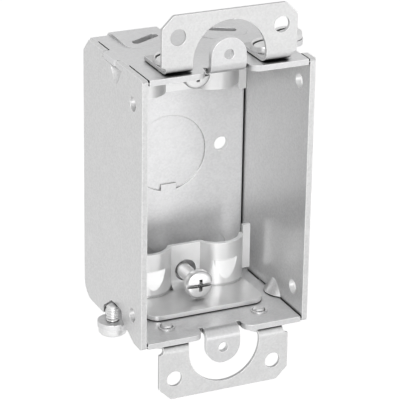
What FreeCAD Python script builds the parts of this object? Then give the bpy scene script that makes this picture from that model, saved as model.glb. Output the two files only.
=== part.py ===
"""Steel switch box, one gang wide: folded body, two side plates, plaster ears and cable clamps.

The box stands upright as it does in a wall. X runs across it, Z runs up, and Y runs from the
open front into the wall. The origin lies midway between the two tapped holes that hold a switch,
on the front faces of their tabs. Both ends of the box are the same piece of design: the lower
end is the upper end turned half a turn about Y. All lengths are in millimetres.
"""
import FreeCAD, Part
import math
import os

V = FreeCAD.Vector

# How near a position must be to count as equal, and how far a cutting tool runs past a sheet
near = 0.0001
spare = 1.0

# Body, folded from one sheet
sheet = 1.6
body_width = 46.0
body_height = 75.6
body_depth = 40.0
fold_radius = 1.2
edge_gap = 0.45
edge_groove_depth = 0.7
corner_seat = 6.0

# Tabs that hold the switch
device_hole_spacing = 83.34
device_hole_radius = 1.4
device_tab_width = 10.0
device_tab_recess = 1.0
device_tab_overhang = 4.5
relief_width = 1.2
relief_slack = 0.5
relief_corner_radius = 2.8

# Round knockout and ground hole in the back wall
knockout_radius = 11.1
knockout_height = 1.0
knockout_push = 0.5
knockout_tie_width = 4.6
knockout_tie_height = 2.0
ground_hole_x = 15.9
ground_hole_z = 1.6
ground_hole_radius = 2.05

# Pry-outs, one pair in each end
pryout_inner_x = 4.4
pryout_outer_x = 17.8
pryout_front_y = 23.0
pryout_height = 12.1
pryout_push = 1.2
pryout_corner_radius = 4.5
pryout_wall_radius = 3.0
pry_slot_length = 9.2
pry_slot_width = 2.4
pry_slot_angle = 24.6
pry_slot_x = 10.9
pry_slot_y = 29.2

# Where each side plate meets the body
plate_sheet = 1.6
notch_front_y = 12.1
notch_back_y = 25.3
notch_clearance = 0.3
hook_notch_front_y = 16.4
hook_gap = 0.3
hook_reach = 0.25
hook_taper = 0.6
hook_radius = 0.8
lug_notch_depth = 6.3
lug_notch_radius = 1.6
lug_notch_slope_y = 19.5
lug_notch_slope_height = 2.2
lug_notch_flare = 8.1
lug_notch_flare_height = 3.6
dimple_y = 16.5
dimple_height = 7.2
dimple_radius = 4.2
dimple_offset = 1.5
plate_chamfer = 3.8
plate_corner_radius = 5.0
plate_front_radius = 0.8
nail_hole_radius = 2.0
nail_hole_y = 5.1
nail_hole_spacing = 59.6

# Screws: shank radius, head radius, head height
small_shank = 1.75
small_head = 3.9
small_head_height = 2.7
clamp_shank = 2.08
clamp_head = 4.0
clamp_head_height = 2.7
head_crown = 0.6
head_edge_radius = 1.2
thread_clearance = 0.05
slot_width = 1.1
slot_depth = 1.1
cross_width = 1.0
cross_length = 4.4
cross_depth = 1.7
tip_chamfer = 0.4

# Side plate screws
plate_screw_outboard = 0.7
plate_screw_y = 17.0
plate_screw_length = 6.0
lug_edge_width = 2.4
lug_root_radius = 1.4

# Ears
ear_sheet = 1.0
ear_width = 38.2
ear_foot_gap = 0.3
ear_reach = 16.2
ear_front_recess = 0.4
ear_bend_radius = 1.4
ear_chamfer = 3.3
ear_corner_radius = 1.2
ear_shoulder = 1.4
ear_hole_x = 14.6
ear_hole_inset = 5.9
ear_hole_radius = 2.2
ear_arch_radius = 10.4
ear_arch_height = 3.1
ear_throat_half = 10.0
ear_foot_depth = 14.6
ear_slot_width = 3.9
ear_slot_front = 3.4
ear_slot_back = 12.9
ear_screw_x = 13.8
ear_screw_y = 6.9
ear_screw_length = 3.8
tapped_collar_wall = 0.5
tapped_collar_height = 0.4

# Cable clamps: y values are seen from the switch tabs, drops from the end wall's inner face
clamp_sheet = 1.2
clamp_flat_y = 26.4
clamp_flat_width = 8.6
clamp_arch_y = 22.8
clamp_arch_x = 10.9
clamp_flange_y = 27.2
clamp_flange_x = 17.9
clamp_flange_width = 2.2
clamp_edge_drop = 14.2
clamp_flange_edge_drop = 16.6
clamp_flange_end_drop = 3.6
clamp_foot_width = 34.6
clamp_foot_front_y = 10.8
clamp_foot_radius = 3.6
clamp_foot_clearance = 0.3
clamp_bend_radius = 2.4
clamp_hole_radius = 3.15
clamp_screw_drop = 6.4
clamp_screw_head_y = 17.6
clamp_screw_length = 22.2
upper_clamp_travel = 3.7
lower_clamp_play = 0.5
dent_width = 8.4
dent_depth = 1.0
dent_edge_drop = 9.2
dent_radius = 1.3
dent_run_out = 0.35

# Faces that the pieces share
front_y = -device_tab_recess
back_y = front_y + body_depth
wall_y = back_y - sheet
top_z = body_height / 2
ceiling_z = top_z - sheet
side_x = body_width / 2
plate_outer_x = side_x + plate_sheet
plate_screw_x = plate_outer_x + plate_screw_outboard
ear_front_y = front_y + ear_front_recess
ear_foot_z = top_z + ear_foot_gap
ear_foot_top_z = ear_foot_z + ear_sheet
ear_top_z = top_z + ear_reach
clamp_foot_z = ceiling_z - clamp_foot_clearance
clamp_foot_low_z = clamp_foot_z - clamp_sheet
clamp_edge_z = ceiling_z - clamp_edge_drop
clamp_flange_edge_z = ceiling_z - clamp_flange_edge_drop
clamp_flange_end_z = ceiling_z - clamp_flange_end_drop
clamp_screw_z = ceiling_z - clamp_screw_drop
dent_edge_z = ceiling_z - dent_edge_drop


def block(x, y, z):
    """A box between the low and high values of x, y and z."""
    return Part.makeBox(x[1] - x[0], y[1] - y[0], z[1] - z[0], V(x[0], y[0], z[0]))


def rod(point, direction, radius, length):
    return Part.makeCylinder(radius, length, point, direction)


def bore(face_point, direction, radius, thickness):
    """A cutting rod through a sheet, from the face at the point, running past both faces."""
    return rod(face_point - direction * spare, direction, radius, thickness + 2 * spare)


def edges_at(shape, **place):
    """The edges whose middle lies at the given x, y or z."""
    found = []
    for edge in shape.Edges:
        middle = edge.CenterOfMass
        if all(abs(getattr(middle, axis) - value) < near for axis, value in place.items()):
            found.append(edge)
    return found


def slab(points, direction):
    """A flat outline of points, pushed along a direction."""
    outline = Part.makePolygon(points + points[:1])
    return Part.Face(outline).extrude(direction)


def turned_over(shape):
    """The same piece at the other end of the box: half a turn about Y."""
    copy = shape.copy()
    copy.rotate(V(0, 0, 0), V(0, 1, 0), 180)
    return copy


def at_both_ends(shape):
    return [shape, turned_over(shape)]


def on_both_sides(shape):
    return [shape, shape.mirror(V(0, 0, 0), V(1, 0, 0))]


def folded_walls():
    """Back wall with the top and bottom walls folded forward from it."""
    outside = block((-side_x, side_x), (front_y, back_y), (-top_z, top_z))
    folds = edges_at(outside, y=back_y, z=top_z) + edges_at(outside, y=back_y, z=-top_z)
    outside = outside.makeFillet(fold_radius + sheet, folds)
    inside = block((-side_x, side_x), (front_y, wall_y), (-ceiling_z, ceiling_z))
    folds = edges_at(inside, y=wall_y, z=ceiling_z) + edges_at(inside, y=wall_y, z=-ceiling_z)
    inside = inside.makeFillet(fold_radius, folds)
    return outside.cut(inside)


def edge_grooves():
    """Grooves along the body's side edges, on both faces, where it meets the plates."""
    x = (side_x - edge_gap, side_x)
    seat_y = back_y - corner_seat
    inner = (ceiling_z - spare, ceiling_z + edge_groove_depth)
    outer = (top_z - edge_groove_depth, top_z + spare)
    strips = []
    for z in (inner, outer):
        strips.append(block(x, (front_y, notch_front_y), z))
        strips.append(block(x, (notch_back_y, seat_y), z))
    inner = (wall_y - spare, wall_y + edge_groove_depth)
    outer = (back_y - edge_groove_depth, back_y + spare)
    for y in (inner, outer):
        strips.append(block(x, y, (0, top_z - corner_seat)))
    found = []
    for strip in strips:
        for side in on_both_sides(strip):
            found += at_both_ends(side)
    return found


def device_tab_relief():
    half = device_tab_width / 2 + relief_width
    deep = sheet + fold_radius + relief_slack
    return block((-half, half), (front_y - spare, deep), (ceiling_z - spare, top_z + spare))


def device_tab():
    """A tongue bent up from the end wall's front edge, round at the tip."""
    half = device_tab_width / 2
    hole_z = device_hole_spacing / 2
    tip_z = hole_z + device_tab_overhang
    root_y = sheet + fold_radius + relief_slack
    tab = block((-half, half), (0, root_y), (ceiling_z, tip_z))
    tab = tab.makeFillet(fold_radius + sheet, edges_at(tab, y=0, z=ceiling_z))
    behind = block((-half, half), (sheet, root_y), (top_z, tip_z))
    behind = behind.makeFillet(fold_radius, edges_at(behind, y=sheet, z=top_z))
    tab = tab.cut(behind)
    tip = bore(V(0, 0, tip_z - half), V(0, 1, 0), half, root_y)
    shank = block((-half, half), (-spare, root_y + spare), (ceiling_z, tip_z - half))
    return tab.common(tip.fuse(shank))


def device_tab_hole():
    return bore(V(0, 0, device_hole_spacing / 2), V(0, 1, 0), device_hole_radius, sheet)


def pryout_block(push, y_face, z_face, radius):
    """The corner that a pry-out's panel covers, flush at its edges and pushed out at the fold."""
    x = (pryout_inner_x, pryout_outer_x)
    z_low = top_z - pryout_height
    points = [V(x[0], pryout_front_y, z_low), V(x[0], pryout_front_y, z_face)]
    points += [V(x[0], y_face + push, z_face + push), V(x[0], y_face, z_low)]
    corner = slab(points, V(x[1] - x[0], 0, 0))
    corner = corner.makeFillet(radius + push, edges_at(corner, y=y_face + push, z=z_face + push))
    front = [edge for side in x for edge in edges_at(corner, x=side, y=pryout_front_y)]
    corner = corner.makeFillet(pryout_corner_radius, front)
    low = [edge for side in x for edge in edges_at(corner, x=side, z=z_low)]
    return corner.makeFillet(pryout_wall_radius, low)


def pry_slot():
    """The slanted slot in a pry-out, where a screwdriver goes in."""
    half = pry_slot_length / 2
    radius = pry_slot_width / 2
    deep = sheet + pryout_push
    slot = block((-half + radius, half - radius), (-radius, radius),
                 (ceiling_z - spare, ceiling_z + deep + spare))
    for end in (-half + radius, half - radius):
        slot = slot.fuse(bore(V(end, 0, ceiling_z), V(0, 0, 1), radius, deep))
    slot.rotate(V(0, 0, 0), V(0, 0, 1), -pry_slot_angle)
    slot.translate(V(pry_slot_x, pry_slot_y, 0))
    return slot


def knockout():
    """The round disc, pushed half out of the back wall and held by its ties."""
    start = V(0, wall_y + knockout_push, knockout_height)
    return rod(start, V(0, 1, 0), knockout_radius, sheet)


def knockout_recess():
    start = V(0, wall_y, knockout_height)
    recess = rod(start, V(0, 1, 0), knockout_radius, knockout_push)
    tie = block((-knockout_tie_width / 2, knockout_tie_width / 2), (wall_y, wall_y + knockout_push),
                (knockout_height - knockout_radius - spare,
                 knockout_height - knockout_radius + knockout_tie_height))
    return recess.cut(tie)


def hook():
    """The nose on the body's upper left edge that the side plate's notch sits under."""
    x_out = plate_outer_x + hook_reach
    y_low = hook_notch_front_y + notch_clearance
    y_high = notch_back_y - notch_clearance
    points = [V(-side_x, y_low, ceiling_z), V(-side_x, y_high, ceiling_z)]
    points.append(V(-plate_outer_x, y_high, ceiling_z))
    points.append(V(-x_out, y_high - hook_taper, ceiling_z))
    points.append(V(-x_out, y_low, ceiling_z))
    nose = slab(points, V(0, 0, sheet))
    return nose.makeFillet(hook_radius, edges_at(nose, x=-x_out, y=y_low))


def screw_lug():
    """The tapped lug on the body's upper right edge that carries the side plate's screw."""
    y_low = notch_front_y + notch_clearance
    y_high = notch_back_y - notch_clearance
    round_r = small_shank + lug_edge_width
    root = block((side_x, plate_outer_x), (y_low, y_high), (ceiling_z, top_z))
    root = root.makeFillet(lug_root_radius, edges_at(root, x=plate_outer_x, y=y_high))
    tongue = block((side_x, plate_screw_x), (plate_screw_y - round_r, plate_screw_y + round_r),
                   (ceiling_z, top_z))
    tip = rod(V(plate_screw_x, plate_screw_y, ceiling_z), V(0, 0, 1), round_r, sheet)
    return root.fuse([tongue, tip])


def screw_lug_bore():
    start = V(plate_screw_x, plate_screw_y, ceiling_z)
    return bore(start, V(0, 0, 1), small_shank + thread_clearance, sheet)


def ear_screw_collar():
    """Metal drawn into the box round each tapped ear-screw hole."""
    start = V(ear_screw_x, ear_screw_y, ceiling_z - tapped_collar_height)
    radius = small_shank + thread_clearance + tapped_collar_wall
    return rod(start, V(0, 0, 1), radius, tapped_collar_height + sheet)


def ear_screw_bore():
    start = V(ear_screw_x, ear_screw_y, ceiling_z - tapped_collar_height)
    return bore(start, V(0, 0, 1), small_shank + thread_clearance, sheet + tapped_collar_height)


def clamp_screw_bore():
    start = V(0, wall_y, clamp_screw_z)
    return bore(start, V(0, 1, 0), clamp_shank + thread_clearance, sheet)


def ground_hole():
    start = V(ground_hole_x, wall_y, ground_hole_z)
    return bore(start, V(0, 1, 0), ground_hole_radius, sheet)


def box_body():
    """Back wall and both end walls, with everything that is formed from the same sheet."""
    body = folded_walls()
    body = body.cut(edge_grooves() + at_both_ends(device_tab_relief()))
    relief_half = device_tab_width / 2 + relief_width
    corners = edges_at(body, x=-relief_half, y=front_y) + edges_at(body, x=relief_half, y=front_y)
    body = body.makeFillet(relief_corner_radius, corners)
    adds = [knockout()]
    cuts = [knockout_recess(), ground_hole()]
    for add in (device_tab(), hook(), screw_lug()):
        adds += at_both_ends(add)
    for cut in (device_tab_hole(), screw_lug_bore(), clamp_screw_bore()):
        cuts += at_both_ends(cut)
    panel = pryout_block(pryout_push, back_y, top_z, fold_radius + sheet)
    for add in on_both_sides(panel) + on_both_sides(ear_screw_collar()):
        adds += at_both_ends(add)
    pocket = pryout_block(pryout_push, wall_y, ceiling_z, fold_radius)
    for cut in on_both_sides(pocket) + on_both_sides(pry_slot()) + on_both_sides(ear_screw_bore()):
        cuts += at_both_ends(cut)
    return body.fuse(adds).cut(cuts).removeSplitter()


def dimple_cone(growth):
    """The punch that presses the plate inward below its notch, point down."""
    low_z = ceiling_z - dimple_height - growth
    height = dimple_height + growth
    radius = dimple_radius + growth
    start = V(-plate_outer_x - dimple_offset, dimple_y, low_z)
    return Part.makeCone(0, radius, height, start, V(0, 0, 1))


def lug_notch():
    """The opening at the plate's lower edge that clears the lug and shows the screw."""
    top = -top_z + lug_notch_depth
    low = -top_z - spare
    flare_y = notch_front_y - lug_notch_flare
    points = [V(-side_x, flare_y, low), V(-side_x, flare_y, -top_z)]
    points.append(V(-side_x, notch_front_y, -top_z + lug_notch_flare_height))
    points += [V(-side_x, notch_front_y, top), V(-side_x, lug_notch_slope_y, top)]
    points.append(V(-side_x, notch_back_y, -top_z + lug_notch_slope_height))
    points.append(V(-side_x, notch_back_y, low))
    notch = slab(points, V(-plate_sheet, 0, 0))
    corners = edges_at(notch, y=notch_front_y, z=top) + edges_at(notch, y=lug_notch_slope_y, z=top)
    return notch.makeFillet(lug_notch_radius, corners)


def side_plate():
    """The left plate: hooked at its top edge and held by a screw at its lower edge."""
    x = (-plate_outer_x, -side_x)
    plate = block(x, (front_y, back_y), (-top_z, top_z))
    plate = plate.makeChamfer(plate_chamfer, edges_at(plate, y=back_y, z=top_z))
    plate = plate.makeFillet(plate_corner_radius, edges_at(plate, y=back_y, z=-top_z))
    front = edges_at(plate, y=front_y, z=top_z) + edges_at(plate, y=front_y, z=-top_z)
    plate = plate.makeFillet(plate_front_radius, front)
    hook_notch = block(x, (hook_notch_front_y, notch_back_y), (ceiling_z - hook_gap, top_z))
    cuts = [hook_notch, lug_notch()]
    for z in (-nail_hole_spacing / 2, nail_hole_spacing / 2):
        start = V(-plate_outer_x, nail_hole_y, z)
        cuts.append(bore(start, V(1, 0, 0), nail_hole_radius, plate_sheet))
    plate = plate.cut(cuts)
    below_hook = block((-plate_outer_x, 0), (front_y, back_y), (0, ceiling_z - hook_gap))
    bulge = dimple_cone(plate_sheet).common(below_hook)
    return plate.fuse(bulge).cut(dimple_cone(0)).removeSplitter()


def screw(shank, length, head, head_height):
    """A pan-head screw, head up, with a slot and a cross. Its head sits on z = 0."""
    crown_radius = (head ** 2 + head_crown ** 2) / (2 * head_crown)
    ball = Part.makeSphere(crown_radius, V(0, 0, head_height - crown_radius))
    cap = rod(V(0, 0, 0), V(0, 0, 1), head, head_height).common(ball)
    cap = cap.makeFillet(head_edge_radius, edges_at(cap, z=head_height - head_crown))
    stem = rod(V(0, 0, -length), V(0, 0, 1), shank, length)
    stem = stem.makeChamfer(tip_chamfer, edges_at(stem, z=-length))
    half = slot_width / 2
    slot = block((-head, head), (-half, half), (head_height - slot_depth, head_height))
    half = cross_width / 2
    reach = cross_length / 2
    deep = (head_height - cross_depth, head_height)
    cross = block((-half, half), (-reach, reach), deep)
    cross = cross.fuse(block((-reach, reach), (-half, half), deep))
    return cap.fuse(stem).cut(slot.fuse(cross))


def stood(shape, point, direction):
    """The screw with its head's underside at a point and its head facing a direction."""
    copy = shape.copy()
    copy.Placement = FreeCAD.Placement(point, FreeCAD.Rotation(V(0, 0, 1), direction))
    return copy


def ear():
    """The upper ear: a plate against the wall's face and two slotted feet on the end wall."""
    half = ear_width / 2
    foot_back_y = ear_front_y + ear_foot_depth
    outside = block((-half, half), (ear_front_y, foot_back_y), (ear_foot_z, ear_top_z))
    outside = outside.makeFillet(ear_bend_radius + ear_sheet,
                                 edges_at(outside, y=ear_front_y, z=ear_foot_z))
    rear_y = ear_front_y + ear_sheet
    inside = block((-half, half), (rear_y, foot_back_y), (ear_foot_top_z, ear_top_z))
    inside = inside.makeFillet(ear_bend_radius, edges_at(inside, y=rear_y, z=ear_foot_top_z))
    piece = outside.cut(inside)
    corners = []
    for side in (-half, half):
        corners += edges_at(piece, x=side, z=ear_top_z)
    piece = piece.makeChamfer(ear_chamfer, corners)
    corners = []
    for side in (-half, half):
        corners += edges_at(piece, x=side, z=ear_top_z - ear_chamfer)
    for side in (ear_chamfer - half, half - ear_chamfer):
        corners += edges_at(piece, x=side, z=ear_top_z)
    piece = piece.makeFillet(ear_corner_radius, corners)
    arch_z = top_z + ear_arch_height
    arch = rod(V(0, ear_front_y - spare, arch_z), V(0, 1, 0), ear_arch_radius,
               ear_foot_depth + 2 * spare)
    throat = block((-ear_throat_half, ear_throat_half),
                   (ear_front_y - spare, foot_back_y + spare), (top_z - spare, arch_z))
    cuts = [arch, throat]
    shoulder = block((half - ear_shoulder, half + spare),
                     (ear_front_y - spare, foot_back_y + spare), (top_z - spare, ear_foot_top_z))
    relief = bore(V(half, ear_front_y, ear_foot_top_z), V(0, 1, 0), ear_shoulder, ear_sheet)
    cuts += on_both_sides(shoulder) + on_both_sides(relief)
    hole_z = ear_top_z - ear_hole_inset
    slot_r = ear_slot_width / 2
    cuts += on_both_sides(bore(V(ear_hole_x, ear_front_y, hole_z), V(0, 1, 0), ear_hole_radius,
                               ear_sheet))
    slot = block((ear_screw_x - slot_r, ear_screw_x + slot_r),
                 (ear_slot_front, ear_slot_back - slot_r), (top_z - spare, ear_foot_top_z + spare))
    start = V(ear_screw_x, ear_slot_back - slot_r, top_z)
    slot = slot.fuse(bore(start, V(0, 0, 1), slot_r, ear_sheet))
    return piece.cut(cuts + on_both_sides(slot)).removeSplitter()


def saddle_curve():
    """Centre and radius, in X and Y, of the arch that goes over a cable."""
    x1 = clamp_flat_width / 2
    x2 = clamp_arch_x
    x3 = clamp_flange_x
    y1 = clamp_flat_y
    y2 = clamp_arch_y
    y3 = clamp_flange_y
    arch = Part.Arc(V(x1, y1, 0), V(x2, y2, 0), V(x3, y3, 0)).toShape()
    return arch.Curve.Center, arch.Curve.Radius


def saddle_side(shift):
    """Right half of the saddle's section, shifted towards the back wall, from middle to end."""
    centre, radius = saddle_curve()
    radius -= shift
    flat_y = clamp_flat_y + shift
    flange_y = clamp_flange_y + shift
    x1 = centre.x - math.sqrt(radius ** 2 - (flat_y - centre.y) ** 2)
    x2 = centre.x + math.sqrt(radius ** 2 - (flange_y - centre.y) ** 2)
    apex = V(centre.x, centre.y - radius, 0)
    end = V(clamp_flange_x + clamp_flange_width, flange_y, 0)
    start = V(0, flat_y, 0)
    curve = [Part.LineSegment(start, V(x1, flat_y, 0)).toShape()]
    curve.append(Part.Arc(V(x1, flat_y, 0), apex, V(x2, flange_y, 0)).toShape())
    curve.append(Part.LineSegment(V(x2, flange_y, 0), end).toShape())
    return curve, start, end


def saddle():
    """The clamp's upright wall, arched over the cables on both sides of the screw."""
    front, front_start, front_end = saddle_side(0)
    back, back_start, back_end = saddle_side(clamp_sheet)
    edges = front + [Part.LineSegment(front_end, back_end).toShape()] + back
    edges.append(Part.LineSegment(back_start, front_start).toShape())
    outline = Part.Wire(Part.__sortEdges__(edges))
    half = Part.Face(outline).extrude(V(0, 0, clamp_foot_z - clamp_flange_edge_z))
    half.translate(V(0, 0, clamp_flange_edge_z))
    trim = block((0, clamp_flange_x), (0, back_y), (0, clamp_edge_z))
    below = block((clamp_flange_x, side_x), (0, back_y), (clamp_flange_end_z, top_z))
    half = half.cut([trim, below])
    return half.fuse(half.mirror(V(0, 0, 0), V(1, 0, 0)))


def arch_core(low_z):
    """What the right arch goes round, out to the middle of its wall, from a height up."""
    centre, radius = saddle_curve()
    start = V(centre.x, centre.y, low_z)
    return rod(start, V(0, 0, 1), radius - clamp_sheet / 2, clamp_foot_z - low_z + spare)


def dent_punch(growth):
    """The wedge pressed into an arch from the front, deepest at its edge away from the foot."""
    centre, radius = saddle_curve()
    arch_y = centre.y - radius
    half = dent_width / 2 + growth
    edge_z = dent_edge_z - growth
    deep_y = arch_y + dent_depth + growth
    shallow_y = arch_y - dent_run_out + growth
    points = [V(centre.x - half, arch_y - spare, edge_z), V(centre.x - half, deep_y, edge_z)]
    points.append(V(centre.x - half, shallow_y, clamp_foot_low_z))
    points.append(V(centre.x - half, arch_y - spare, clamp_foot_low_z))
    punch = slab(points, V(2 * half, 0, 0))
    long_edges = []
    for side in (-half, half):
        long_edges += edges_at(punch, x=centre.x + side, y=(deep_y + shallow_y) / 2)
    return punch.makeFillet(dent_radius + growth, long_edges)


def clamp():
    """The upper clamp: a saddle over two cables, with a foot that slides on the end wall."""
    half = clamp_foot_width / 2
    foot = block((-half, half), (clamp_foot_front_y, clamp_flat_y + clamp_sheet),
                 (clamp_foot_low_z, clamp_foot_z))
    corners = []
    for side in (-half, half):
        corners += edges_at(foot, x=side, y=clamp_foot_front_y)
    foot = foot.makeFillet(clamp_foot_radius, corners)
    foot = foot.cut(on_both_sides(arch_core(clamp_foot_low_z - spare)))
    gusset = block((-clamp_flat_width / 2, clamp_flat_width / 2),
                   (clamp_flat_y - clamp_bend_radius, clamp_flat_y),
                   (clamp_foot_low_z - clamp_bend_radius, clamp_foot_low_z))
    start = V(-clamp_flat_width / 2, clamp_flat_y - clamp_bend_radius,
              clamp_foot_low_z - clamp_bend_radius)
    gusset = gusset.cut(rod(start, V(1, 0, 0), clamp_bend_radius, clamp_flat_width))
    pressed = dent_punch(clamp_sheet).common(arch_core(clamp_edge_z))
    piece = saddle().fuse([foot, gusset] + on_both_sides(pressed))
    cuts = on_both_sides(dent_punch(0))
    cuts.append(rod(V(0, 0, clamp_screw_z), V(0, 1, 0), clamp_hole_radius, back_y))
    return piece.cut(cuts)


def save(shape, name):
    shape.exportStep("parts/" + name + ".step")
    box = shape.BoundBox
    print(name, "solids", len(shape.Solids), "valid", shape.isValid(), "volume", round(shape.Volume, 1),
          "x", round(box.XMin, 2), round(box.XMax, 2), "y", round(box.YMin, 2), round(box.YMax, 2),
          "z", round(box.ZMin, 2), round(box.ZMax, 2))


os.makedirs("parts", exist_ok=True)

save(box_body(), "box_body")

left_plate = side_plate()
save(left_plate, "left_side_plate")
save(turned_over(left_plate), "right_side_plate")

plate_screw = screw(small_shank, plate_screw_length, small_head, small_head_height)
right_plate_screw = stood(plate_screw, V(plate_screw_x, plate_screw_y, top_z), V(0, 0, 1))
save(right_plate_screw, "right_plate_screw")
save(turned_over(right_plate_screw), "left_plate_screw")

upper_ear = ear()
save(upper_ear, "top_ear")
save(turned_over(upper_ear), "bottom_ear")

ear_screw = screw(small_shank, ear_screw_length, small_head, small_head_height)
for side, x in (("left", -ear_screw_x), ("right", ear_screw_x)):
    upper_screw = stood(ear_screw, V(x, ear_screw_y, ear_foot_top_z), V(0, 0, 1))
    other_side = {"left": "right", "right": "left"}[side]
    save(upper_screw, "top_ear_screw_" + side)
    save(turned_over(upper_screw), "bottom_ear_screw_" + other_side)

# The upper clamp and its screw are drawn further in, and the lower clamp hangs to one side
upper_clamp = clamp()
lower_clamp = turned_over(upper_clamp)
upper_clamp.translate(V(0, upper_clamp_travel, 0))
lower_clamp.translate(V(lower_clamp_play, 0, 0))
save(upper_clamp, "top_clamp")
save(lower_clamp, "bottom_clamp")

clamp_screw = screw(clamp_shank, clamp_screw_length, clamp_head, clamp_head_height)
upper_clamp_screw = stood(clamp_screw, V(0, clamp_screw_head_y, clamp_screw_z), V(0, -1, 0))
lower_clamp_screw = turned_over(upper_clamp_screw)
upper_clamp_screw.translate(V(0, upper_clamp_travel, 0))
save(upper_clamp_screw, "top_clamp_screw")
save(lower_clamp_screw, "bottom_clamp_screw")
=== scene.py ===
"""A one-gang steel switch box: galvanised sheet, with zinc-plated ears, clamps and screws."""

import bmesh
import bpy
import math
from mathutils import Matrix, Vector


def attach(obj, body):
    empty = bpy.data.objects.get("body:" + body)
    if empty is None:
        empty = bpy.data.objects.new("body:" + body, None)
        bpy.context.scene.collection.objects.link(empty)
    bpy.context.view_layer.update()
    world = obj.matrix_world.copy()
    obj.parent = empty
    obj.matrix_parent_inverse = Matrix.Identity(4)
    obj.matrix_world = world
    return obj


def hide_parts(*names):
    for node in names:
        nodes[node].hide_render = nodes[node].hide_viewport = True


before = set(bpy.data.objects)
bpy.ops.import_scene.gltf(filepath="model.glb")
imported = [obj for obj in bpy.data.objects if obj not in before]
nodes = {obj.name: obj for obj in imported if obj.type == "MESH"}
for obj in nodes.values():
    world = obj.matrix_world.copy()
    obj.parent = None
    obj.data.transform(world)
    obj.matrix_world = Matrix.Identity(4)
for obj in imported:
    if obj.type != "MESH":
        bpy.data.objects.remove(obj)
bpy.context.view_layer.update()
scene = bpy.context.scene
MM = 0.001


# Viewpoint: a long lens at the height of a person who looks down on the box from its left.
# The camera stands off the box's front, turned a little about its own line of sight.

view_target = Vector((-8.10, -1.0, 2.98)) * MM
view_azimuth = math.radians(-24.88)
view_elevation = math.radians(22.43)
view_roll = math.radians(0.88)
view_distance = 593.9 * MM
view_lens = 205.1
film_width = 36
nearest_seen = 0.05
furthest_seen = 20

back = Vector((math.sin(view_azimuth) * math.cos(view_elevation),
               -math.cos(view_azimuth) * math.cos(view_elevation),
               math.sin(view_elevation)))
level_right = Vector((math.cos(view_azimuth), math.sin(view_azimuth), 0))
level_up = back.cross(level_right)
right = level_right * math.cos(view_roll) + level_up * math.sin(view_roll)
up = level_up * math.cos(view_roll) - level_right * math.sin(view_roll)

camera_data = bpy.data.cameras.new("viewpoint")
camera_data.sensor_width = film_width
camera_data.lens = view_lens
camera_data.clip_start = nearest_seen
camera_data.clip_end = furthest_seen
camera = bpy.data.objects.new("viewpoint", camera_data)
turn = Matrix((right, up, back)).transposed()
camera.matrix_world = Matrix.Translation(view_target + back * view_distance) @ turn.to_4x4()
scene.collection.objects.link(camera)
scene.camera = camera
scene.view_settings.view_transform = "Standard"


# Studio: a white room round the box, which hangs as if held in a wall, well above a pale floor.
# A large soft lamp stands in front on its left and a smaller one low on its right, and the
# floor takes its shadow.

floor_drop = 0.32
floor_half = 3.0
floor_paint = (0.82, 0.82, 0.82, 1)
floor_rough = 0.9
floor_seen = 0.75
white = (1, 1, 1, 1)
room_seen = 1.0
room_light = 0.24
lamps = {
    "front_left_softbox": ((-0.71, -1.87, 0.85), 1.53, 29.8),
    "front_right_softbox": ((0.58, -1.15, -0.10), 0.5, 1.25),
}


def seen_directly(tree):
    """1 for what the camera, a reflection or a clear piece shows, 0 for light on surfaces."""
    path = tree.nodes.new("ShaderNodeLightPath")
    either = tree.nodes.new("ShaderNodeMath")
    either.operation = "MAXIMUM"
    tree.links.new(path.outputs["Is Camera Ray"], either.inputs[0])
    tree.links.new(path.outputs["Is Glossy Ray"], either.inputs[1])
    any_of = tree.nodes.new("ShaderNodeMath")
    any_of.operation = "MAXIMUM"
    tree.links.new(either.outputs[0], any_of.inputs[0])
    tree.links.new(path.outputs["Is Transmission Ray"], any_of.inputs[1])
    return any_of.outputs[0]


room = bpy.data.worlds.new("white_room")
room.use_nodes = True
scene.world = room
tree = room.node_tree
strength = tree.nodes.new("ShaderNodeMapRange")
tree.links.new(seen_directly(tree), strength.inputs["Value"])
strength.inputs["To Min"].default_value = room_light
strength.inputs["To Max"].default_value = room_seen
tree.nodes["Background"].inputs["Color"].default_value = white
tree.links.new(strength.outputs[0], tree.nodes["Background"].inputs["Strength"])

for name, (place, size, power) in lamps.items():
    lamp_data = bpy.data.lights.new(name, "AREA")
    lamp_data.shape = "DISK"
    lamp_data.size = size
    lamp_data.energy = power
    lamp = bpy.data.objects.new(name, lamp_data)
    lamp.location = place
    lamp.rotation_euler = (-Vector(place)).to_track_quat("-Z", "Y").to_euler()
    scene.collection.objects.link(lamp)

floor_mesh = bpy.data.meshes.new("floor")
floor_corners = [(side_x * floor_half, side_y * floor_half, -floor_drop)
                 for side_x, side_y in ((-1, -1), (1, -1), (1, 1), (-1, 1))]
floor_mesh.from_pydata(floor_corners, [], [(0, 1, 2, 3)])
floor = bpy.data.objects.new("floor", floor_mesh)
scene.collection.objects.link(floor)
pale = bpy.data.materials.new("pale_floor")
pale.use_nodes = True
tree = pale.node_tree
paint = tree.nodes["Principled BSDF"]
paint.inputs["Base Color"].default_value = floor_paint
paint.inputs["Roughness"].default_value = floor_rough
paint.inputs["Emission Color"].default_value = white
lift = tree.nodes.new("ShaderNodeMapRange")
lift.inputs["To Max"].default_value = floor_seen
tree.links.new(seen_directly(tree), lift.inputs["Value"])
tree.links.new(lift.outputs[0], paint.inputs["Emission Strength"])
floor_mesh.materials.append(pale)


# Body: back wall and end walls folded from one galvanised sheet, with its tabs, hooks and lugs.
# The zinc is dull grey with a faint crystal pattern, rolled streaks and slightly rounded edges.

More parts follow.
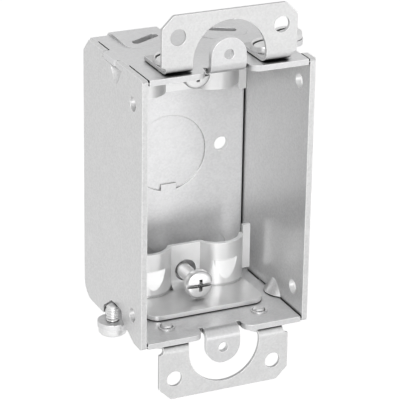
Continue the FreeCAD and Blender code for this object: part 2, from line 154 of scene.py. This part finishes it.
body_grey = (0.74, 0.74, 0.745)
body_rough = (0.285, 0.40)
sheet_edge_round = 0.22 * MM
# Painted shade: faces turned to the front, near the front edge, have their colour multiplied by
# this.
sheet_front_shade = 0.78
cloud_scale = 140
crystal_scale = 2100
darkest_tint = 0.93
palest_tint = 1.06
tint_span = (0.25, 0.75)
gloss_span = (0.3, 0.7)
relief_strength = 0.35
relief_depth = 0.02 * MM
# Painted shade: where little of the room is open within this reach, the colour goes nearly black.
crevice_reach = 2.0 * MM
crevice_span = (0.40, 0.68)
crevice_shade_paint = (0.01, 0.01, 0.01, 1)
# Painted highlight: near edges and corners the colour is mixed towards near-white.
edge_reach = 0.45 * MM
edge_span = (0.97, 0.80)
edge_highlight_share = 0.9
painted_edge_highlight = (0.95, 0.95, 0.95, 1)
# The band in from the front edge over which the painted front shade fades out.
front_band = (2.0 * MM, 5.0 * MM)
out_of_front = (0, -1, 0)


def mixed(tree, share, first, second):
    """A number between two others: share of the second, and the rest of the first."""
    mix = tree.nodes.new("ShaderNodeMix")
    mix.data_type = "FLOAT"
    mix.inputs["Factor"].default_value = share
    tree.links.new(first, mix.inputs["A"])
    tree.links.new(second, mix.inputs["B"])
    return mix.outputs["Result"]


def ranged(tree, value, span, low, high):
    """A number that goes from low to high while the value goes along its span."""
    fitted = tree.nodes.new("ShaderNodeMapRange")
    fitted.inputs["From Min"].default_value = span[0]
    fitted.inputs["From Max"].default_value = span[1]
    fitted.inputs["To Min"].default_value = low
    fitted.inputs["To Max"].default_value = high
    tree.links.new(value, fitted.inputs["Value"])
    return fitted.outputs[0]


def steel(name, grey, rough, metallic, crystal, streak_scale, edge_round, front_shade=1):
    """Zinc-coated steel: crystal is how much of its mottling is crystals, streak_scale how fine
    its rolled streaks are each way, so that they run where it is smallest.

    Narrow gaps and grooves, which the room's light hardly enters, are painted nearly black:
    painted shade. Faces turned to the front of the box near its front edge, such as sheared edges
    and tabs, are darkened by the front shade, which is painted shade, and near edges and corners
    the colour goes towards near-white as a painted highlight.
    """
    made = bpy.data.materials.new(name)
    made.use_nodes = True
    tree = made.node_tree
    link = tree.links.new
    shader = tree.nodes["Principled BSDF"]
    place = tree.nodes.new("ShaderNodeTexCoord")

    cloud = tree.nodes.new("ShaderNodeTexNoise")
    cloud.inputs["Scale"].default_value = cloud_scale
    cloud.inputs["Detail"].default_value = 4
    cloud.inputs["Roughness"].default_value = 0.6
    link(place.outputs["Object"], cloud.inputs["Vector"])

    flower = tree.nodes.new("ShaderNodeTexVoronoi")
    flower.inputs["Scale"].default_value = crystal_scale
    link(place.outputs["Object"], flower.inputs["Vector"])
    facet = tree.nodes.new("ShaderNodeSeparateColor")
    link(flower.outputs["Color"], facet.inputs["Color"])

    along = tree.nodes.new("ShaderNodeMapping")
    along.inputs["Scale"].default_value = streak_scale
    link(place.outputs["Object"], along.inputs["Vector"])
    streak = tree.nodes.new("ShaderNodeTexNoise")
    streak.inputs["Scale"].default_value = 1
    streak.inputs["Detail"].default_value = 3
    link(along.outputs["Vector"], streak.inputs["Vector"])

    mottle = mixed(tree, crystal, cloud.outputs["Fac"], facet.outputs["Red"])
    tint = tree.nodes.new("ShaderNodeValToRGB")
    for stop, at, shade in zip(tint.color_ramp.elements, tint_span, (darkest_tint, palest_tint)):
        stop.position = at
        stop.color = (*[channel * shade for channel in grey], 1)
    link(mottle, tint.inputs["Fac"])

    # Painted shade: occlusion darkens narrow gaps, grooves and inner corners nearly to black.
    crevice = tree.nodes.new("ShaderNodeAmbientOcclusion")
    crevice.samples = 8
    crevice.inputs["Distance"].default_value = crevice_reach
    shaded = tree.nodes.new("ShaderNodeMix")
    shaded.data_type = "RGBA"
    shaded.inputs["A"].default_value = crevice_shade_paint
    link(ranged(tree, crevice.outputs["AO"], crevice_span, 0, 1), shaded.inputs["Factor"])
    link(tint.outputs["Color"], shaded.inputs["B"])

    # Painted shade: faces turned to the front near the front edge are darkened by the front shade.
    where = tree.nodes.new("ShaderNodeSeparateXYZ")
    link(place.outputs["Object"], where.inputs[0])
    surface = tree.nodes.new("ShaderNodeNewGeometry")
    facing = tree.nodes.new("ShaderNodeVectorMath")
    facing.operation = "DOT_PRODUCT"
    facing.inputs[1].default_value = out_of_front
    link(surface.outputs["Normal"], facing.inputs[0])
    front_shade_mask = tree.nodes.new("ShaderNodeMath")
    front_shade_mask.operation = "MULTIPLY"
    front_shade_mask.use_clamp = True
    link(ranged(tree, where.outputs["Y"], front_band, 1, 0), front_shade_mask.inputs[0])
    link(facing.outputs["Value"], front_shade_mask.inputs[1])
    front_shaded = tree.nodes.new("ShaderNodeMix")
    front_shaded.data_type = "RGBA"
    front_shaded.blend_type = "MULTIPLY"
    front_shaded.inputs["B"].default_value = (front_shade, front_shade, front_shade, 1)
    link(front_shade_mask.outputs[0], front_shaded.inputs["Factor"])
    link(shaded.outputs["Result"], front_shaded.inputs["A"])

    # Painted highlight: where the rounded normal leans from the face, near edges and corners, the
    # colour goes towards near-white.
    corner = tree.nodes.new("ShaderNodeBevel")
    corner.samples = 4
    corner.inputs["Radius"].default_value = edge_reach
    turned = tree.nodes.new("ShaderNodeVectorMath")
    turned.operation = "DOT_PRODUCT"
    link(corner.outputs["Normal"], turned.inputs[0])
    link(surface.outputs["Normal"], turned.inputs[1])
    edge_highlighted = tree.nodes.new("ShaderNodeMix")
    edge_highlighted.data_type = "RGBA"
    edge_highlighted.inputs["B"].default_value = painted_edge_highlight
    link(ranged(tree, turned.outputs["Value"], edge_span, 0, edge_highlight_share), edge_highlighted.inputs["Factor"])
    link(front_shaded.outputs["Result"], edge_highlighted.inputs["A"])
    link(edge_highlighted.outputs["Result"], shader.inputs["Base Color"])

    gloss = mixed(tree, 0.5, mottle, streak.outputs["Fac"])
    link(ranged(tree, gloss, gloss_span, *rough), shader.inputs["Roughness"])

    rounded = tree.nodes.new("ShaderNodeBevel")
    rounded.samples = 4
    rounded.inputs["Radius"].default_value = edge_round
    grain = mixed(tree, 0.5, cloud.outputs["Fac"], streak.outputs["Fac"])
    relief = tree.nodes.new("ShaderNodeBump")
    relief.inputs["Strength"].default_value = relief_strength
    relief.inputs["Distance"].default_value = relief_depth
    link(grain, relief.inputs["Height"])
    link(rounded.outputs["Normal"], relief.inputs["Normal"])
    link(relief.outputs["Normal"], shader.inputs["Normal"])
    shader.inputs["Metallic"].default_value = metallic
    return made


def finish_node(node, material):
    """Gives a piece drawn in CAD one finish all over."""
    mesh = nodes[node].data
    mesh.materials.clear()
    mesh.materials.append(material)


body_sheet = steel("galvanised_body_sheet", body_grey, body_rough, metallic=0.54, crystal=0.35,
                   streak_scale=(900, 900, 60), edge_round=sheet_edge_round,
                   front_shade=sheet_front_shade)
finish_node("box_body", body_sheet)


# Side plates: the same galvanised stock as the body, one on each side, hooked at one end.
# Their rolling streaks run up the box, and the left one is seen from outside.

plate_grey = (0.71, 0.71, 0.71)
plate_rough = (0.285, 0.38)

plate_sheet = steel("galvanised_plate_sheet", plate_grey, plate_rough, metallic=0.58, crystal=0.55,
                    streak_scale=(700, 700, 45), edge_round=sheet_edge_round,
                    front_shade=sheet_front_shade)
for node in ("left_side_plate", "right_side_plate"):
    finish_node(node, plate_sheet)


# Screws: zinc-plated steel with rolled threads, a pan head, a slot and a cross.
# A pair locks the side plates, four hold the ears, and two long ones draw the clamps in.
# Each is one turned blank: the thread is rolled on the shank, and the slot is cut last.

thread_pitch = 0.79 * MM
thread_depth = 0.36 * MM
crest_flat = 0.2
tip_taper = 0.55 * MM
shank_sides = 40
rings_per_turn = 10
head_sides = 56
head_crown = 0.6 * MM
crown_steps = 5
head_edge_radius = 1.2 * MM
head_edge_turn = math.radians(80)
head_edge_steps = 6
head_edge_height = 0.82
head_edge_start = 0.6
seat_chamfer = 0.1 * MM
slot_size = (1.1 * MM, 1.15 * MM)
slot_overrun = 2.4
cross_size = (4.3 * MM, 1.05 * MM, 1.75 * MM)
cross_taper = 0.45
cross_arm_taper = 0.8
cutter_above = 0.5 * MM
sharp_over = math.radians(38)
screw_grey = (0.76, 0.76, 0.76)
screw_rough = (0.285, 0.36)

screw_zinc = steel("bright_zinc_screw", screw_grey, screw_rough, metallic=0.7, crystal=0.2,
                   streak_scale=(300, 300, 300), edge_round=0.08 * MM)

# Each kind's shank radius, shank length, head radius and head height.
screw_kinds = {
    "plate_screw": (1.75 * MM, 6.0 * MM, 3.9 * MM, 2.7 * MM),
    "ear_screw": (1.75 * MM, 3.8 * MM, 3.9 * MM, 2.7 * MM),
    "clamp_screw": (2.08 * MM, 22.2 * MM, 4.0 * MM, 2.7 * MM),
}


def build_thread_tree():
    """A shank along Z whose skin follows a right-hand thread, from 0 down to its tapered tip."""
    tree = bpy.data.node_groups.new("rolled_thread", "GeometryNodeTree")
    sockets = {}
    for name in ("Shank radius", "Thread depth", "Pitch", "Length", "Tip taper"):
        sockets[name] = tree.interface.new_socket(name, in_out="INPUT",
                                                  socket_type="NodeSocketFloat")
    sockets["Finish"] = tree.interface.new_socket("Finish", in_out="INPUT",
                                                  socket_type="NodeSocketMaterial")
    tree.interface.new_socket("Geometry", in_out="OUTPUT", socket_type="NodeSocketGeometry")
    given = tree.nodes.new("NodeGroupInput").outputs

    def maths(operation, first, second=None):
        node = tree.nodes.new("ShaderNodeMath")
        node.operation = operation
        for socket, value in zip(node.inputs, (first, second)):
            if isinstance(value, (int, float)):
                socket.default_value = value
            elif value is not None:
                tree.links.new(value, socket)
        return node.outputs[0]

    turns = maths("DIVIDE", given["Length"], given["Pitch"])
    blank = tree.nodes.new("GeometryNodeMeshCylinder")
    blank.inputs["Vertices"].default_value = shank_sides
    rings = maths("ROUND", maths("MULTIPLY", turns, rings_per_turn))
    tree.links.new(rings, blank.inputs["Side Segments"])
    tree.links.new(given["Shank radius"], blank.inputs["Radius"])
    tree.links.new(given["Length"], blank.inputs["Depth"])

    place = tree.nodes.new("GeometryNodeInputPosition")
    part = tree.nodes.new("ShaderNodeSeparateXYZ")
    tree.links.new(place.outputs[0], part.inputs[0])
    from_tip = maths("ADD", part.outputs["Z"], maths("DIVIDE", given["Length"], 2))
    angle = maths("DIVIDE", maths("ARCTAN2", part.outputs["Y"], part.outputs["X"]), 2 * math.pi)
    phase = maths("FRACT", maths("SUBTRACT", maths("DIVIDE", from_tip, given["Pitch"]), angle))
    groove = maths("ABSOLUTE", maths("SUBTRACT", maths("MULTIPLY", phase, 2), 1))
    steeper = maths("MULTIPLY", groove, 1 + crest_flat)
    flattened = maths("MAXIMUM", maths("SUBTRACT", steeper, crest_flat), 0)
    cut = maths("MULTIPLY", given["Thread depth"], flattened)
    full = maths("SUBTRACT", given["Shank radius"], cut)
    tip_radius = maths("SUBTRACT", given["Shank radius"], given["Tip taper"])
    tapered = maths("ADD", tip_radius, from_tip)
    radius = maths("MINIMUM", full, tapered)
    shrink = maths("DIVIDE", radius, given["Shank radius"])
    moved = tree.nodes.new("ShaderNodeCombineXYZ")
    tree.links.new(maths("MULTIPLY", part.outputs["X"], shrink), moved.inputs["X"])
    tree.links.new(maths("MULTIPLY", part.outputs["Y"], shrink), moved.inputs["Y"])
    tree.links.new(maths("SUBTRACT", from_tip, given["Length"]), moved.inputs["Z"])
    rolled = tree.nodes.new("GeometryNodeSetPosition")
    tree.links.new(blank.outputs["Mesh"], rolled.inputs["Geometry"])
    tree.links.new(moved.outputs[0], rolled.inputs["Position"])

    realised = tree.nodes.new("GeometryNodeRealizeInstances")
    tree.links.new(rolled.outputs[0], realised.inputs[0])
    finished = tree.nodes.new("GeometryNodeSetMaterial")
    tree.links.new(realised.outputs[0], finished.inputs["Geometry"])
    tree.links.new(given["Finish"], finished.inputs["Material"])
    tree.links.new(finished.outputs[0], tree.nodes.new("NodeGroupOutput").inputs[0])
    return tree, sockets


def plain_mesh(holder, name):
    """The evaluated shape of an object as a mesh of its own. The holder goes."""
    bpy.context.view_layer.update()
    seen = holder.evaluated_get(bpy.context.evaluated_depsgraph_get())
    mesh = bpy.data.meshes.new_from_object(seen)
    mesh.name = name
    holder.modifiers.clear()
    bpy.data.objects.remove(holder)
    return mesh


def held_object(name, mesh):
    holder = bpy.data.objects.new(name, mesh)
    scene.collection.objects.link(holder)
    return holder


def threaded_shank(shank, length):
    holder = held_object("shank_blank", bpy.data.meshes.new("shank_blank"))
    modifier = holder.modifiers.new("thread", "NODES")
    modifier.node_group = thread_tree
    sizes = {"Shank radius": shank, "Thread depth": thread_depth, "Pitch": thread_pitch,
             "Length": length, "Tip taper": tip_taper, "Finish": screw_zinc}
    for name, value in sizes.items():
        modifier[thread_sockets[name].identifier] = value
    return plain_mesh(holder, "threaded_shank")


def head_blank(head, height):
    """The pan head as it comes off the header: flat seat, rim, rounded edge and low crown."""
    crown_radius = (head ** 2 + head_crown ** 2) / (2 * head_crown)
    crown_z = height - crown_radius
    round_z = height - head_crown - head_edge_start * head_edge_radius
    profile = [(0, 0), (head - seat_chamfer, 0), (head, seat_chamfer)]
    inner = head - head_edge_radius
    for step in range(head_edge_steps + 1):
        lean = head_edge_turn * step / head_edge_steps
        profile.append((inner + head_edge_radius * math.cos(lean),
                        round_z + head_edge_height * head_edge_radius * math.sin(lean)))
    crown_reach = profile[-1][0]
    for step in range(1, crown_steps + 1):
        reach = crown_reach * (1 - step / crown_steps)
        profile.append((reach, crown_z + math.sqrt(crown_radius ** 2 - reach ** 2)))
    made = bmesh.new()
    rings = []
    for reach, z in profile:
        if reach == 0:
            rings.append([made.verts.new((0, 0, z))])
            continue
        ring = []
        for side in range(head_sides):
            way = 2 * math.pi * side / head_sides
            ring.append(made.verts.new((reach * math.cos(way), reach * math.sin(way), z)))
        rings.append(ring)
    for low, high in zip(rings, rings[1:]):
        for side in range(head_sides):
            after = (side + 1) % head_sides
            if len(low) == 1:
                made.faces.new((low[0], high[after], high[side]))
            elif len(high) == 1:
                made.faces.new((low[side], low[after], high[0]))
            else:
                made.faces.new((low[side], low[after], high[after], high[side]))
    mesh = bpy.data.meshes.new("head_blank")
    made.to_mesh(mesh)
    made.free()
    return mesh


def driver_cutter(head, height):
    """The slot right across the head, and the tapering cross in its middle."""
    made = bmesh.new()
    width, depth = slot_size
    reach, arm, cross_depth = cross_size
    above = height + cutter_above
    slot = (slot_overrun * head, width)
    foot_reach = reach * cross_taper
    foot_arm = arm * cross_arm_taper
    bars = [(slot, slot, depth),
            ((reach, arm), (foot_reach, foot_arm), cross_depth),
            ((arm, reach), (foot_arm, foot_reach), cross_depth)]
    for top, foot, deep in bars:
        corners = []
        for (x, y), z in ((foot, height - deep), (top, above)):
            for side_x, side_y in ((-1, -1), (1, -1), (1, 1), (-1, 1)):
                corners.append(made.verts.new((side_x * x / 2, side_y * y / 2, z)))
        low, high = corners[:4], corners[4:]
        made.faces.new(low[::-1])
        made.faces.new(high)
        for side in range(4):
            after = (side + 1) % 4
            made.faces.new((low[side], low[after], high[after], high[side]))
    mesh = bpy.data.meshes.new("driver_cutter")
    made.to_mesh(mesh)
    made.free()
    return mesh


def boolean(holder, other, operation):
    modifier = holder.modifiers.new(operation.lower(), "BOOLEAN")
    modifier.operation = operation
    modifier.solver = "EXACT"
    modifier.use_self = True
    modifier.object = other


def screw_mesh(kind):
    """A whole screw, head up, with the seat of its head at the origin."""
    shank, length, head, height = screw_kinds[kind]
    holder = held_object("screw_blank", head_blank(head, height))
    cutter = held_object("driver_cutter", driver_cutter(head, height))
    stem = held_object("stem", threaded_shank(shank, length))
    boolean(holder, cutter, "DIFFERENCE")
    boolean(holder, stem, "UNION")
    mesh = plain_mesh(holder, kind)
    bpy.data.objects.remove(cutter)
    bpy.data.objects.remove(stem)
    mesh.materials.clear()
    mesh.materials.append(screw_zinc)
    mesh.shade_smooth()
    mesh.set_sharp_from_angle(angle=sharp_over)
    return mesh


def stand(point, direction):
    """Where a screw goes: its seat at a point in millimetres, its head towards a direction."""
    lean = Vector(upwards).rotation_difference(Vector(direction))
    return Matrix.Translation(Vector(point) * MM) @ lean.to_matrix().to_4x4()


def place_screw(kind, node, where):
    mesh = screw_meshes[kind].copy()
    mesh.transform(where)
    piece = held_object("threaded_" + node, mesh)
    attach(piece, node)
    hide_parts(node)


thread_tree, thread_sockets = build_thread_tree()
screw_meshes = {kind: screw_mesh(kind) for kind in screw_kinds}
other_end = Matrix.Rotation(math.pi, 4, "Y")
upwards = (0, 0, 1)

plate_screw_place = stand((25.3, 17.0, 37.8), upwards)
place_screw("plate_screw", "right_plate_screw", plate_screw_place)
place_screw("plate_screw", "left_plate_screw", other_end @ plate_screw_place)


# Cable clamps: one at each end inside the box, pressed from thinner zinc-plated sheet.
# They are smooth and brighter than the box round them, with streaks from front to back.
# A long screw through each one's wall draws it to the back of the box.

clamp_grey = (0.75, 0.75, 0.75)
clamp_rough = (0.285, 0.37)
clamp_zinc = steel("zinc_clamp_sheet", clamp_grey, clamp_rough, metallic=0.5, crystal=0,
                   streak_scale=(260, 40, 260), edge_round=0.03 * MM)
for node in ("top_clamp", "bottom_clamp"):
    finish_node(node, clamp_zinc)

top_clamp_screw_place = stand((0, 21.3, 29.8), out_of_front)
bottom_clamp_screw_place = other_end @ stand((0, 17.6, 29.8), out_of_front)
place_screw("clamp_screw", "top_clamp_screw", top_clamp_screw_place)
place_screw("clamp_screw", "bottom_clamp_screw", bottom_clamp_screw_place)


# Ears: thin zinc-plated sheet bent to an L, one at each end, to lie flat on the wall's face.
# Their streaks run across, and two screws through slots in the feet hold each to the box.

ear_grey = (0.605, 0.605, 0.605)
ear_rough = (0.34, 0.48)
ear_screw_out = 13.8

ear_zinc = steel("zinc_ear_sheet", ear_grey, ear_rough, metallic=0.5, crystal=0.4,
                 streak_scale=(60, 600, 600), edge_round=0.25 * MM)
for node in ("top_ear", "bottom_ear"):
    finish_node(node, ear_zinc)

for side, opposite, x in (("left", "right", -ear_screw_out), ("right", "left", ear_screw_out)):
    ear_screw_place = stand((x, 6.9, 39.1), upwards)
    place_screw("ear_screw", "top_ear_screw_" + side, ear_screw_place)
    place_screw("ear_screw", "bottom_ear_screw_" + opposite, other_end @ ear_screw_place)
